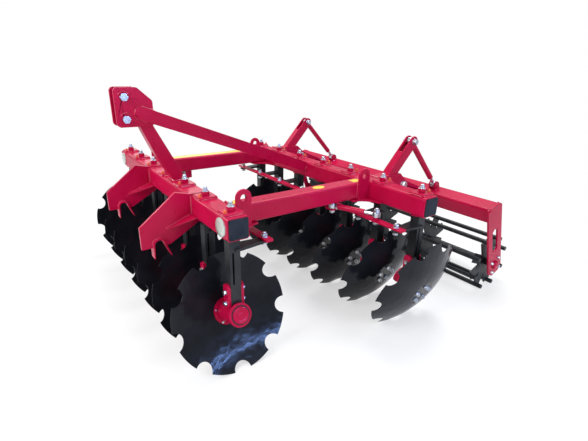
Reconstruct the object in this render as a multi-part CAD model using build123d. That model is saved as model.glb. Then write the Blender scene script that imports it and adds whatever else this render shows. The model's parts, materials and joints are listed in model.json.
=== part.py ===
from build123d import *
import os
from math import asin, atan2, cos, hypot, radians, sin

# Mounted compact disc harrow with a cage roller.
# +X is the machine's left side, +Y is rearward, +Z is up, the ground is Z = 0.
# Pieces are modelled from the front tube's centre line and moved to the ground frame at the end.

# Driving dimensions, in millimetres and degrees
TUBE = 100.0
TUBE_WALL = 8.0
TUBE_CORNER = 14.0
TUBE_OVERHANG = 63.0
ROW_GAP = 905.0
DISCS_PER_ROW = 7
PITCH = 250.0
BEAM_WIDTH = 90.0
BEAM_WALL = 6.0
BEAM_CORNER = 12.0
BEAM_HALF_SPAN = 520.0

DISC_D = 560.0
DISC_THICK = 6.0
DISC_DEPTH = 62.0
DISC_FLAT_D = 150.0
DISC_BOW = 0.36
DISC_TILT = 20.0
DISC_DROP = 440.0
DISC_SIDE = 24.0
NOTCHES = 9
NOTCH_R = 41.0

FLANGE_D = 130.0
FLANGE_THICK = 12.0
FLANGE_GAP = 4.0
HUB_D = 100.0
HUB_LENGTH = 134.0
HUB_CAP_D = 76.0
HUB_CAP_THICK = 5.0
HUB_RING_D = 108.0
HUB_RING_THICK = 14.0
SPINDLE_D = 40.0
EAR_WIDTH = 46.0
EAR_THICK = 14.0
EAR_RISE = 165.0
EAR_CHAMFER = 10.0

STALK = 50.0
STALK_SLOT = 8.0
STALK_SLOT_IN = 12.0
STALK_SLOT_MARGIN = 45.0
STALK_FOOT = 60.0
PIVOT_D = 44.0
BUSH_WALL = 10.0
COLLAR_D = 84.0
COLLAR_THICK = 6.0
PAD = 84.0
PAD_THICK = 10.0
PAD_CORNER = 10.0
STUD_D = 24.0
NUT_ACROSS = 38.0
NUT_THICK = 20.0
LEVER = 160.0
LEVER_THICK = 12.0
LEVER_ROOT = 80.0
LEVER_TIP = 44.0
LEVER_DROP = 52.0
LEVER_PIN_D = 16.0
TIE_WIDTH = 40.0
TIE_THICK = 10.0
TIE_END = 48.0

HOOK_HALF_SPAN = 315.0
HOOK_PLATE = 14.0
HOOK_STRAP = 10.0
HOOK_STRAP_MARGIN = 12.0
HOOK_CREST = 72.0
HOOK_CREST_RISE = 26.0
HOOK_NOSE_DROP = 60.0
HOOK_NOTCH_Y = 215.0
HOOK_NOTCH_Z = 150.0
HOOK_NOTCH = 42.0
HOOK_LINER = 8.0
HOOK_LINER_WIDTH = 46.0
HOOK_LEG = 66.0
HOOK_FLARE = 24.0
HOOK_TIP = 4.0
HOOK_FLOOR = 16.0
HOOK_HEEL = 23.0
HOOK_UNDER = 30.0
HOOK_UNDER_DROP = 34.0
HOOK_RIB = 60.0
HOOK_RIB_THICK = 10.0
HOOK_RIB_RUN = 130.0
HOOK_RIB_FALL = 50.0
HOOK_RIB_ROOT = 40.0
HITCH_REACH = 292.0

MAST_GAP = 60.0
CHEEK = 14.0
CHEEK_LEAD = 42.0
CHEEK_TRAIL = 127.0
CHEEK_CROWN = 42.0
CHEEK_SKIRT = 36.0
CHEEK_SLOPE_RUN = 66.0
CHEEK_SLOPE_FALL = 60.0
CHEEK_CORNER = 20.0
POST_FOOT = 68.0
POST_FOOT_BACK = 46.0
POST_KNEE_Y = 112.0
POST_KNEE_Z = 216.0
POST_HEAD = 62.0
POST_HEAD_MARGIN = 4.0
POST_LAP = 64.0
TOP_PIN_D = 25.0
TOP_PIN_Y = 222.0
TOP_PIN_Z = (371.0, 470.0)
PIN_HEAD_D = 38.0
PIN_HEAD = 14.0
BRACE_HEIGHT = 62.0
BRACE_WIDTH = 40.0
BRACE_STRAP = 12.0
BRACE_LAP = 84.0
BRACE_LAP_MARGIN = 24.0
BRACE_BEND = 130.0
BRACE_CORNER = 20.0
BRACE_START_RISE = 71.0
BRACE_END_Z = 18.0

LUG_WIDTH = 76.0
LUG_THICK = 12.0
LUG_HOLE = 30.0
LUG_RISE = 36.0
GUSSET_THICK = 10.0
GUSSET_LEG = 110.0

ARM_HALF_SPAN = 510.0
ARM_WIDTH = 42.0
ARM_HEIGHT = 60.0
ARM_HINGE_BACK = 276.0
ARM_HINGE_Z = -20.0
ARM_PIN_D = 25.0
ARM_BOSS_D = 60.0
MAST_PIN_BACK = 345.0
MAST_PIN_Z = 225.0
MAST_TUBE = 62.0
FORK_PLATE = 10.0
FORK_GAP = 30.0
FORK_LENGTH = 95.0
LINK_PIN_D = 20.0
BRACKET_PLATE = 12.0

ROLLER_D = 360.0
ROLLER_RODS = 8
ROD_D = 28.0
ROLLER_HALF = 940.0
ROLLER_PLATE = 12.0
ROLLER_LEAN = 20.0
ROLLER_BEAM = 100.0
ROLLER_BEAM_WALL = 6.0
ROLLER_BEAM_BACK = 654.0
ROLLER_BEAM_Z = -159.0
ROLLER_PLATE_WIDTH = 140.0
ROLLER_PLATE_RISE = 6.0
ROLLER_PLATE_TOP_RUN = 30.0
ROLLER_PLATE_TOP_FALL = 24.0
ROLLER_PLATE_CHAMFER = 34.0
ROLLER_SLOT = 54.0
ROLLER_SLOT_LENGTH = 170.0
AXLE_D = 45.0
BEARING_D = 90.0
SPIDERS = 5
SPIDER_THICK = 10.0
SPIDER_BAND = 64.0
ROD_OVERRUN = 40.0
ROLLER_SIDE_GAP = 12.0
EAR_PIN_ALONG = 15.0
EAR_PIN_RISE = 27.0

LINK_SLEEVE_D = 34.0
LINK_ROD_D = 20.0
LINK_EYE_D = 46.0
LINK_EYE_WIDTH = 26.0
LINK_ROOM = 4.0
MOUTH_SHARE = 1.6
THROAT_SHARE = 0.8
ROD_START_SHARE = 0.5
ANGLE_ANCHOR_IN = 255.0
ANGLE_EAR_OUT = 225.0
ANGLE_PIN_D = 16.0
ANGLE_SLEEVE_D = 30.0
ANGLE_ROD_D = 16.0
ANGLE_EYE_D = 40.0
ANGLE_EYE_WIDTH = 22.0

RUNNING = 0.3
SEAT = 0.3
PLUG_LIP = 5.0
PLUG_DEPTH = 20.0
PLUG_MARGIN = 5.0

# Places worked out from the driving dimensions
HALF = TUBE / 2
TUBE_LENGTH = (DISCS_PER_ROW - 1) * PITCH + 2 * TUBE_OVERHANG
ROW_SHIFT = PITCH / 2
TILT = radians(DISC_TILT)
DISC_R = DISC_D / 2
RIM_DROP = DISC_THICK / 2
NOTCH_TURN = 2 * asin(NOTCH_R / DISC_D)
TUBE_HEIGHT = DISC_DROP + DISC_R * cos(NOTCH_TURN) * cos(TILT) + RIM_DROP * sin(TILT)
ROD_CIRCLE = ROLLER_D / 2 - ROD_D / 2
ROD_STEP = 360 / ROLLER_RODS
AXLE_HEIGHT = ROD_CIRCLE * cos(radians(ROD_STEP / 2)) + ROD_D / 2
AXLE_Z = AXLE_HEIGHT - TUBE_HEIGHT
LEAN = radians(ROLLER_LEAN)
PLATE_RUN = (ROLLER_BEAM_Z - AXLE_Z) / cos(LEAN)
BEAM_Y = ROW_GAP + ROLLER_BEAM_BACK
AXLE_Y = BEAM_Y + PLATE_RUN * sin(LEAN)
REAR_REACH = AXLE_Y + ROD_CIRCLE * cos(radians(ROD_STEP / 2)) + ROD_D / 2
TOTAL_LENGTH = HITCH_REACH + REAR_REACH
TO_GROUND = Location((0, HITCH_REACH - TOTAL_LENGTH / 2, TUBE_HEIGHT))
BEAM_Z = HALF - BEAM_WIDTH / 2
BEAM_FLOOR = HALF - BEAM_WIDTH
STALK_TOP = -HALF - COLLAR_THICK - SEAT
LEVER_TOP = -HALF - LEVER_DROP
TIE_FLOOR = LEVER_TOP + SEAT
ANGLE_LINK_Z = (BEAM_FLOOR + TIE_FLOOR + TIE_THICK) / 2
HUB_START = -DISC_DEPTH + FLANGE_THICK + FLANGE_GAP
HUB_END = HUB_START + HUB_LENGTH
CHEEK_OUT = MAST_GAP / 2 + CHEEK
CHEEK_FRONT = TOP_PIN_Y + CHEEK_LEAD
CHEEK_BACK = TOP_PIN_Y - CHEEK_TRAIL
CHEEK_TOP = TOP_PIN_Z[1] + CHEEK_CROWN
CHEEK_BOTTOM = TOP_PIN_Z[0] - CHEEK_SKIRT
ARM_HINGE_Y = ROW_GAP + ARM_HINGE_BACK
MAST_PIN_Y = ROW_GAP + MAST_PIN_BACK
EAR_PIN_Y = BEAM_Y + EAR_PIN_ALONG * cos(LEAN) + (ROLLER_BEAM / 2 + EAR_PIN_RISE) * -sin(LEAN)
EAR_PIN_Z = ROLLER_BEAM_Z + EAR_PIN_ALONG * sin(LEAN) + (ROLLER_BEAM / 2 + EAR_PIN_RISE) * cos(LEAN)
FRONT_X = [-ROW_SHIFT + (i - (DISCS_PER_ROW - 1) / 2) * PITCH for i in range(DISCS_PER_ROW)]
REAR_X = [-x for x in reversed(FRONT_X)]


def plate(points, thick, x=0.0, corner=0.0):
    # A flat plate that faces +X, from its outline in Y and Z.
    face = make_face(Polyline(*points, close=True))
    if corner:
        face = fillet(face.vertices(), corner)
    return Pos(x, 0, 0) * extrude(Plane.YZ * face, amount=thick / 2, both=True)


def pin_x(radius, length, y, z, x=0.0):
    # A round bar along X.
    return Pos(x, y, z) * Rot(0, 90, 0) * Cylinder(radius, length)


def pin_z(radius, low, high, x, y):
    # A round bar along Z between two heights.
    return Pos(x, y, (low + high) / 2) * Cylinder(radius, high - low)


def bar_between(start, end, section):
    # A profile swept straight from one point of the Y-Z plane to another.
    run = hypot(end[0] - start[0], end[1] - start[1])
    along = Vector(0, end[0] - start[0], end[1] - start[1])
    plane = Plane(origin=(0, start[0], start[1]), x_dir=(1, 0, 0), z_dir=along)
    return extrude(plane * section, amount=run)


def hollow(size, wall, corner):
    # The section of a square tube with rounded corners.
    inner = size - 2 * wall
    return RectangleRounded(size, size, corner) - RectangleRounded(inner, inner, max(corner - wall, wall / 4))


def cross_tube(xs, y):
    # A cross tube with a bush, a pad and a collar for each stalk.
    middle = sum(xs) / len(xs)
    section = Plane.YZ * hollow(TUBE, TUBE_WALL, TUBE_CORNER)
    tube = Pos(middle, 0, 0) * extrude(section, TUBE_LENGTH / 2, both=True)
    bores = []
    for x in xs:
        tube += Pos(x, 0, 0) * Cylinder(PIVOT_D / 2 + BUSH_WALL, TUBE - TUBE_WALL)
        tube += Pos(x, 0, HALF) * extrude(RectangleRounded(PAD, PAD, PAD_CORNER), PAD_THICK)
        tube += pin_z(COLLAR_D / 2, -HALF - COLLAR_THICK, -HALF, x, 0)
        bores.append(pin_z(PIVOT_D / 2 + RUNNING, -TUBE, TUBE, x, 0))
    return Pos(0, y, 0) * (tube - bores)


def tube_plugs():
    # Plastic plugs that close the four ends of the cross tubes.
    lip = TUBE - 2 * PLUG_MARGIN
    spigot = TUBE - 2 * TUBE_WALL - 2 * SEAT
    plugs = []
    for xs, y in ((FRONT_X, 0), (REAR_X, ROW_GAP)):
        for end in (-1, 1):
            x = sum(xs) / len(xs) + end * TUBE_LENGTH / 2
            outside = extrude(Plane.YZ * RectangleRounded(lip, lip, TUBE_CORNER - PLUG_MARGIN), end * PLUG_LIP)
            inside = extrude(Plane.YZ * RectangleRounded(spigot, spigot, TUBE_WALL), -end * PLUG_DEPTH)
            plugs.append(Pos(x, y, 0) * (outside + inside))
    return plugs


def angle_places(side):
    # The anchor pin on a side beam and the ear pin on the tie bar that one angle link joins.
    lever_y = ROW_GAP - LEVER
    anchor = (BEAM_HALF_SPAN, ROW_GAP - ANGLE_ANCHOR_IN)
    ear = (BEAM_HALF_SPAN + ANGLE_EAR_OUT, lever_y)
    if side > 0:
        return anchor, ear
    return (-anchor[0], ROW_GAP - anchor[1]), (-ear[0], ROW_GAP - ear[1])


def side_beam(side):
    # A beam between the cross tubes, with the bracket that anchors an angle link below it.
    x = side * BEAM_HALF_SPAN
    length = ROW_GAP - TUBE
    beam = extrude(Plane.XZ * hollow(BEAM_WIDTH, BEAM_WALL, BEAM_CORNER), length / 2, both=True)
    beam = Pos(x, ROW_GAP / 2, BEAM_Z) * beam
    (pin, y), ear = angle_places(side)
    reach = ANGLE_EYE_D / 2
    floor = ANGLE_LINK_Z - ANGLE_EYE_WIDTH / 2 - SEAT
    web_in = reach + FORK_PLATE
    hang = (Align.CENTER, Align.CENTER, Align.MAX)
    web = Box(FORK_PLATE, ANGLE_EYE_D, BEAM_FLOOR - floor + FORK_PLATE, align=hang)
    shelf = Box(web_in + reach, ANGLE_EYE_D, FORK_PLATE, align=hang)
    beam += Pos(pin - side * web_in, y, BEAM_FLOOR) * web
    beam += Pos(pin - side * (web_in - reach) / 2, y, floor) * shelf
    beam += pin_z(ANGLE_PIN_D / 2, floor - FORK_PLATE, BEAM_FLOOR + BEAM_WALL, pin, y)
    return beam


def lifting_lugs():
    # Round-topped lifting lugs on the outer faces of the side beams, one at each end.
    lugs = []
    half = LUG_WIDTH / 2
    eye_z = HALF + LUG_RISE
    outline = Pos(0, eye_z) * Circle(half)
    outline += Pos(0, (eye_z + BEAM_FLOOR) / 2) * Rectangle(LUG_WIDTH, eye_z - BEAM_FLOOR)
    lug = extrude(Plane.YZ * (outline - Pos(0, eye_z) * Circle(LUG_HOLE / 2)), LUG_THICK / 2, both=True)
    for side in (-1, 1):
        x = side * (BEAM_HALF_SPAN + BEAM_WIDTH / 2 + LUG_THICK / 2)
        for y in (HALF + half, ROW_GAP - HALF - half):
            lugs.append(Pos(x, y, 0) * lug)
    return lugs


def corner_gussets():
    # Plates with hollow edges under the beams, in the corners with the cross tubes.
    wide = BEAM_WIDTH / 2 + GUSSET_LEG
    sheet = Pos(0, GUSSET_LEG / 2) * Rectangle(2 * wide, GUSSET_LEG)
    for end in (-1, 1):
        sheet -= Pos(end * wide, GUSSET_LEG) * Circle(GUSSET_LEG - GUSSET_THICK)
    plates = []
    for side in (-1, 1):
        for y, turn in ((HALF, 0), (ROW_GAP - HALF, 180)):
            place = Pos(side * BEAM_HALF_SPAN, y, BEAM_FLOOR - GUSSET_THICK) * Rot(0, 0, turn)
            plates.append(place * extrude(sheet, GUSSET_THICK))
    return plates


def hitch_hook(side):
    # A lower hitch plate with a strap over the tube, a downward notch, its bent liner and two ribs.
    notch_r = HOOK_NOTCH / 2
    liner_r = notch_r + HOOK_LINER
    middle = -HOOK_NOTCH_Y
    arch_z = -HOOK_NOTCH_Z
    tip_z = arch_z - HOOK_LEG
    floor_z = arch_z - HOOK_FLOOR
    strap_end = HALF - HOOK_STRAP_MARGIN
    under_end = -HALF + HOOK_UNDER
    outline = [
        (-HALF, HALF), (strap_end, HALF), (strap_end, HALF + HOOK_STRAP), (-HALF, HALF + HOOK_STRAP),
        (-HALF - HOOK_CREST, HALF + HOOK_CREST_RISE), (-HITCH_REACH, -HOOK_NOSE_DROP), (-HITCH_REACH, floor_z),
        (middle + liner_r + HOOK_HEEL, floor_z), (under_end, -HALF - HOOK_UNDER_DROP), (under_end, -HALF),
        (-HALF, -HALF),
    ]
    hook = plate(outline, HOOK_PLATE)
    front_tip = middle - liner_r + HOOK_TIP
    rear_tip = middle + liner_r + HOOK_FLARE - HOOK_TIP
    flare = [(middle - notch_r, arch_z), (middle + notch_r, arch_z), (rear_tip, tip_z), (front_tip, tip_z)]
    legs = [
        (middle - liner_r, arch_z), (middle + liner_r, arch_z), (rear_tip + HOOK_TIP, tip_z),
        (front_tip - HOOK_TIP, tip_z),
    ]
    gap = Pos(middle, arch_z) * Circle(notch_r) + make_face(Polyline(*flare, close=True))
    arch = Pos(middle, arch_z) * Circle(liner_r) + make_face(Polyline(*legs, close=True))
    hook -= extrude(Plane.YZ * gap, HOOK_PLATE, both=True)
    hook += extrude(Plane.YZ * (arch - gap), HOOK_LINER_WIDTH / 2, both=True)
    slope = Plane(
        origin=(0, -HALF, -HOOK_RIB_ROOT), x_dir=(1, 0, 0), z_dir=Vector(0, -HOOK_RIB_FALL, HOOK_RIB_RUN),
    )
    edge = hypot(HOOK_RIB_RUN, HOOK_RIB_FALL)
    cut = Pos(0, -HALF + TUBE / 2, 0) * Box(4 * HOOK_RIB, TUBE, 2 * TUBE)
    for hand in (-1, 1):
        foot = hand * HOOK_PLATE / 2
        rib = make_face(Polyline((foot, 0), (foot + hand * HOOK_RIB, 0), (foot, -edge), close=True))
        hook += extrude(slope * rib, HOOK_RIB_THICK / 2, both=True) - cut
    return Pos(side * HOOK_HALF_SPAN, 0, 0) * hook


def headstock_post():
    # The leaning post between the cheeks, standing on the front tube.
    back = -CHEEK_BACK - POST_HEAD_MARGIN
    top = CHEEK_BOTTOM + POST_LAP
    outline = [
        (POST_FOOT_BACK - POST_FOOT, HALF), (POST_FOOT_BACK, HALF), (back, CHEEK_BOTTOM), (back, top),
        (back - POST_HEAD, top), (back - POST_HEAD, CHEEK_BOTTOM), (-POST_KNEE_Y, POST_KNEE_Z),
    ]
    return plate(outline, MAST_GAP)


def headstock_cheeks():
    # Two plates that carry the top link's pins.
    outline = [
        (-CHEEK_FRONT, CHEEK_TOP), (-CHEEK_BACK - CHEEK_SLOPE_RUN, CHEEK_TOP),
        (-CHEEK_BACK, CHEEK_TOP - CHEEK_SLOPE_FALL), (-CHEEK_BACK, CHEEK_BOTTOM), (-CHEEK_FRONT, CHEEK_BOTTOM),
    ]
    cheeks = []
    for side in (-1, 1):
        cheek = plate(outline, CHEEK, side * (MAST_GAP + CHEEK) / 2, CHEEK_CORNER)
        for z in TOP_PIN_Z:
            cheek -= pin_x(TOP_PIN_D / 2 + RUNNING, 4 * MAST_GAP, -TOP_PIN_Y, z)
        cheeks.append(cheek)
    return cheeks


def top_link_pins():
    # Headed pins across the cheeks, an upper and a lower one.
    pins = []
    grip = 2 * CHEEK_OUT + 2 * SEAT
    for z in TOP_PIN_Z:
        pin = pin_x(TOP_PIN_D / 2, grip + 2 * PIN_HEAD, -TOP_PIN_Y, z)
        for end in (-1, 1):
            head = extrude(Plane.YZ * RegularPolygon(PIN_HEAD_D / 2, 6), PIN_HEAD / 2, both=True)
            pin += Pos(end * (grip + PIN_HEAD) / 2, -TOP_PIN_Y, z) * head
        pins.append(pin)
    return pins


def brace():
    # A forked bar from the outer faces of the cheeks down to the rear tube's front face.
    start = Vector(0, -CHEEK_BACK - BRACE_LAP, CHEEK_BOTTOM + BRACE_START_RISE)
    end = Vector(0, ROW_GAP - HALF, BRACE_END_Z)
    run = (end - start).length
    tip = run + BRACE_HEIGHT
    lap = BRACE_LAP + BRACE_LAP_MARGIN
    thin = BRACE_WIDTH / 2
    out = CHEEK_OUT + BRACE_STRAP
    sides = [(0, CHEEK_OUT), (0, out), (lap, out), (lap + BRACE_BEND, thin), (tip, thin)]
    other = [(u, -x) for u, x in reversed(sides)]
    crotch = [(lap, -CHEEK_OUT), (lap + BRACE_BEND - thin, 0), (lap, CHEEK_OUT)]
    flat = Plane(origin=start, x_dir=end - start, z_dir=(end - start).cross(Vector(1, 0, 0)) * -1)
    bar = extrude(flat * make_face(Polyline(*sides, *other, *crotch, close=True)), BRACE_HEIGHT / 2, both=True)
    strap_ends = bar.edges().filter_by(Axis.X).sort_by(Axis.Y)[:4]
    bar = fillet(strap_ends, BRACE_CORNER)
    return bar - Pos(0, ROW_GAP - HALF + TUBE, 0) * Box(TUBE, 2 * TUBE, 4 * TUBE)


def mast(side):
    # The bracket behind the rear tube that carries an arm's hinge, and the forked mast on it.
    pin = (MAST_PIN_Y, MAST_PIN_Z)
    hinge = (ARM_HINGE_Y, ARM_HINGE_Z)
    back = ROW_GAP + HALF
    wide = ARM_WIDTH + 2 * RUNNING
    boss = ARM_BOSS_D / 2
    outline = [
        (back, -HALF), (hinge[0] - boss, hinge[1] - boss), (hinge[0], hinge[1] - boss),
        (hinge[0] + boss, hinge[1]), (hinge[0] + boss / 2, hinge[1] + boss), (hinge[0] - boss, HALF),
        (back, HALF),
    ]
    body = plate(outline, wide + 2 * BRACKET_PLATE)
    room = boss + LINK_ROOM
    near = hinge[0] - room
    far = hinge[0] + TUBE
    body -= plate([(near, -TUBE), (far, -TUBE), (far, TUBE), (near, hinge[1] + room)], wide)
    lean = atan2(pin[1] - HALF, pin[0] - hinge[0] + 3 * boss)
    foot = (pin[0] - (pin[1] - HALF / 2) / sin(lean) * cos(lean), HALF / 2)
    split = (pin[0] - FORK_LENGTH * cos(lean), pin[1] - FORK_LENGTH * sin(lean))
    body += bar_between(foot, split, Rectangle(FORK_GAP + 2 * FORK_PLATE, MAST_TUBE))
    tip = Plane(origin=(0, split[0], split[1]), x_dir=(0, cos(lean), sin(lean)), z_dir=(1, 0, 0))
    ear = Pos(FORK_LENGTH / 2, 0) * Rectangle(FORK_LENGTH, MAST_TUBE)
    ear += Pos(FORK_LENGTH, 0) * Circle(MAST_TUBE / 2)
    for hand in (-1, 1):
        place = tip.offset(hand * (FORK_GAP + FORK_PLATE) / 2)
        body += extrude(place * ear, FORK_PLATE / 2, both=True)
    body += pin_x(LINK_PIN_D / 2, FORK_GAP + 2 * FORK_PLATE, *pin)
    body += pin_x(ARM_PIN_D / 2, wide + 2 * BRACKET_PLATE, *hinge)
    return Pos(side * ARM_HALF_SPAN, 0, 0) * body


def roller_frame():
    # The roller's cross beam, its two hinged arms and the ears for the height links.
    section = Plane(origin=(0, BEAM_Y, ROLLER_BEAM_Z), x_dir=(0, cos(LEAN), sin(LEAN)), z_dir=(1, 0, 0))
    shape = hollow(ROLLER_BEAM, ROLLER_BEAM_WALL, BEAM_CORNER)
    body = extrude(section * shape, ROLLER_HALF - ROLLER_PLATE, both=True)
    half = ROLLER_BEAM / 2
    hinge = (ARM_HINGE_Y, ARM_HINGE_Z)
    front = (BEAM_Y - half * cos(LEAN), ROLLER_BEAM_Z - half * sin(LEAN))
    bore = pin_x(ARM_PIN_D / 2 + RUNNING, 2 * ARM_WIDTH, *hinge)
    block = extrude(section * Rectangle(ROLLER_BEAM, ROLLER_BEAM), ARM_WIDTH, both=True)
    ear_r = LINK_EYE_D / 2
    ear = Pos(EAR_PIN_ALONG, half + EAR_PIN_RISE / 2) * Rectangle(2 * ear_r, EAR_PIN_RISE)
    ear += Pos(EAR_PIN_ALONG, half + EAR_PIN_RISE) * Circle(ear_r)
    for side in (-1, 1):
        x = side * ARM_HALF_SPAN
        inside = (front[0] + half * cos(LEAN) / 2, front[1] + half * sin(LEAN) / 2)
        arm = bar_between(hinge, inside, Rectangle(ARM_WIDTH, ARM_HEIGHT)) - block
        arm += pin_x(ARM_BOSS_D / 2, ARM_WIDTH, *hinge)
        body += Pos(x, 0, 0) * (arm - bore)
        for hand in (-1, 1):
            place = section.offset(x + hand * (FORK_GAP + FORK_PLATE) / 2)
            body += extrude(place * ear, FORK_PLATE / 2, both=True)
        body += pin_x(LINK_PIN_D / 2, FORK_GAP + 2 * FORK_PLATE, EAR_PIN_Y, EAR_PIN_Z, x)
    return body


def roller_plates():
    # The slotted end plates that hang the roller's bearings from its beam.
    half = ROLLER_BEAM / 2
    wide = ROLLER_PLATE_WIDTH / 2
    down = Plane(origin=(0, BEAM_Y, ROLLER_BEAM_Z), x_dir=(0, cos(LEAN), sin(LEAN)), z_dir=(1, 0, 0))
    low = -PLATE_RUN - wide
    high = half + ROLLER_PLATE_RISE
    shoulder = high - ROLLER_PLATE_TOP_FALL
    crown = wide - ROLLER_PLATE_TOP_RUN
    toe = wide - ROLLER_PLATE_CHAMFER
    ankle = low + ROLLER_PLATE_CHAMFER
    outline = [
        (-wide, shoulder), (-crown, high), (crown, high), (wide, shoulder),
        (wide, ankle), (toe, low), (-toe, low), (-wide, ankle),
    ]
    sheet = make_face(Polyline(*outline, close=True))
    slot_y = (-half - PLATE_RUN + BEARING_D / 2) / 2
    sheet -= Pos(0, slot_y) * Rot(0, 0, 90) * SlotOverall(ROLLER_SLOT_LENGTH, ROLLER_SLOT)
    sheet -= Pos(0, -PLATE_RUN) * Circle(AXLE_D / 2 + RUNNING)
    plates = []
    for side in (-1, 1):
        place = down.offset(side * (ROLLER_HALF - ROLLER_PLATE / 2))
        plates.append(extrude(place * sheet, ROLLER_PLATE / 2, both=True))
    return plates


def roller_cage():
    # Rods round the rims of spider plates on a through shaft.
    inner = ROLLER_HALF - ROLLER_PLATE - ROLLER_SIDE_GAP
    cage = pin_x(AXLE_D / 2, 2 * ROLLER_HALF + ROD_OVERRUN / 2, AXLE_Y, AXLE_Z)
    rim = ROD_CIRCLE
    spider = Circle(BEARING_D / 2)
    for i in range(ROLLER_RODS):
        spoke = Pos(rim / 2, 0) * Rectangle(rim, SPIDER_BAND)
        spider += Rot(0, 0, ROD_STEP * (i + 0.5)) * spoke
    reach = inner - ROD_OVERRUN
    for i in range(SPIDERS):
        x = -reach + 2 * reach * i / (SPIDERS - 1)
        cage += Pos(x, AXLE_Y, AXLE_Z) * extrude(Plane.YZ * spider, SPIDER_THICK / 2, both=True)
    for i in range(ROLLER_RODS):
        turn = radians(ROD_STEP * (i + 0.5))
        cage += pin_x(ROD_D / 2, 2 * inner, AXLE_Y + rim * cos(turn), AXLE_Z + rim * sin(turn))
    return cage


def link_pair(start, end, sleeve_d, rod_d, eye_d, eye_width, pin_d, frame_plane):
    # A turnbuckle: a sleeve with an eye at the start, and a rod with an eye at the end.
    # Both are drawn along the X axis of the given plane, whose normal is the pins' direction.
    run = (end - start).length
    eye = extrude(Circle(eye_d / 2), eye_width / 2, both=True)
    mouth = run - eye_d * MOUTH_SHARE
    throat = eye_d * THROAT_SHARE
    sleeve = eye + Pos(throat / 2, 0, 0) * Rot(0, 90, 0) * Cylinder(rod_d / 2, throat)
    sleeve += Pos((mouth + throat) / 2, 0, 0) * Rot(0, 90, 0) * Cylinder(sleeve_d / 2, mouth - throat)
    sleeve -= Cylinder(pin_d / 2 + RUNNING, 2 * eye_width)
    start_bore = throat + LINK_ROOM
    bore = mouth - start_bore
    sleeve -= Pos(start_bore + bore / 2, 0, 0) * Rot(0, 90, 0) * Cylinder(rod_d / 2 + RUNNING, bore)
    low = run * ROD_START_SHARE
    high = run - eye_d / 3
    rod = Pos(run, 0, 0) * eye
    rod += Pos((low + high) / 2, 0, 0) * Rot(0, 90, 0) * Cylinder(rod_d / 2, high - low)
    rod -= Pos(run, 0, 0) * Cylinder(pin_d / 2 + LINK_ROOM, 2 * eye_width)
    return frame_plane * sleeve, frame_plane * rod


def height_link(side):
    # The turnbuckle from a mast's fork to an ear on the roller's beam.
    x = side * ARM_HALF_SPAN
    start = Vector(x, MAST_PIN_Y, MAST_PIN_Z)
    end = Vector(x, EAR_PIN_Y, EAR_PIN_Z)
    plane = Plane(origin=start, x_dir=end - start, z_dir=(1, 0, 0))
    return link_pair(start, end, LINK_SLEEVE_D, LINK_ROD_D, LINK_EYE_D, LINK_EYE_WIDTH, LINK_PIN_D, plane)


def angle_link(side):
    # The turnbuckle from a side beam to a row's tie bar, which sets the discs' angle.
    anchor, ear = angle_places(side)
    start = Vector(anchor[0], anchor[1], ANGLE_LINK_Z)
    end = Vector(ear[0], ear[1], ANGLE_LINK_Z)
    plane = Plane(origin=start, x_dir=end - start, z_dir=(0, 0, 1))
    return link_pair(start, end, ANGLE_SLEEVE_D, ANGLE_ROD_D, ANGLE_EYE_D, ANGLE_EYE_WIDTH, ANGLE_PIN_D, plane)


def tie_bar(xs, y, side):
    # The flat bar that couples the levers of one row, with the ear pin of its angle link.
    ear = angle_places(side)[1]
    middle = (xs[0] + xs[-1]) / 2
    length = xs[-1] - xs[0] + 2 * TIE_END
    bar = Pos(middle, y, TIE_FLOOR) * extrude(RectangleRounded(length, TIE_WIDTH, TIE_WIDTH / 4), TIE_THICK)
    holes = [pin_z(LEVER_PIN_D / 2 + RUNNING, -2 * TUBE, TUBE, x, y) for x in xs]
    top = ANGLE_LINK_Z + ANGLE_EYE_WIDTH / 2
    return bar - holes + pin_z(ANGLE_PIN_D / 2, TIE_FLOOR, top, ear[0], y)


def hub_plane(x, y, hand):
    # The plane of a disc's rim: its normal points to the hollow side, its X axis points down.
    normal = (hand * cos(TILT), 0, sin(TILT))
    down = (hand * sin(TILT), 0, -cos(TILT))
    return Plane(origin=(x - hand * DISC_SIDE, y, -DISC_DROP), x_dir=down, z_dir=normal)


def disc(x, y, hand):
    # A dished and notched disc with its flange and spindle.
    flat = DISC_FLAT_D / 2
    low = -DISC_DEPTH
    rise = DISC_DEPTH * DISC_BOW
    half_way = (flat + DISC_R) / 2
    inside = ThreePointArc((flat, low), (half_way, low + rise), (DISC_R, -RIM_DROP / 2))
    outside = ThreePointArc((DISC_R, -RIM_DROP), (half_way, low + rise - DISC_THICK), (flat, low - DISC_THICK))
    edges = [
        Line((0, low), (flat, low)), inside, Line((DISC_R, -RIM_DROP / 2), (DISC_R, -RIM_DROP)), outside,
        Line((flat, low - DISC_THICK), (0, low - DISC_THICK)), Line((0, low - DISC_THICK), (0, low)),
    ]
    dish = revolve(Plane.XZ * make_face(edges), Axis.Z)
    cutter = Pos(DISC_R, 0, 0) * Cylinder(NOTCH_R, 4 * DISC_DEPTH)
    step = 360 / NOTCHES
    dish -= [Rot(0, 0, step * i) * cutter for i in range(NOTCHES)]
    dish += Pos(0, 0, low) * extrude(Circle(FLANGE_D / 2), FLANGE_THICK)
    spindle_end = HUB_END - HUB_RING_THICK - SEAT
    dish += Pos(0, 0, low) * extrude(Circle(SPINDLE_D / 2), spindle_end - low)
    return hub_plane(x, y, hand) * dish


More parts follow.
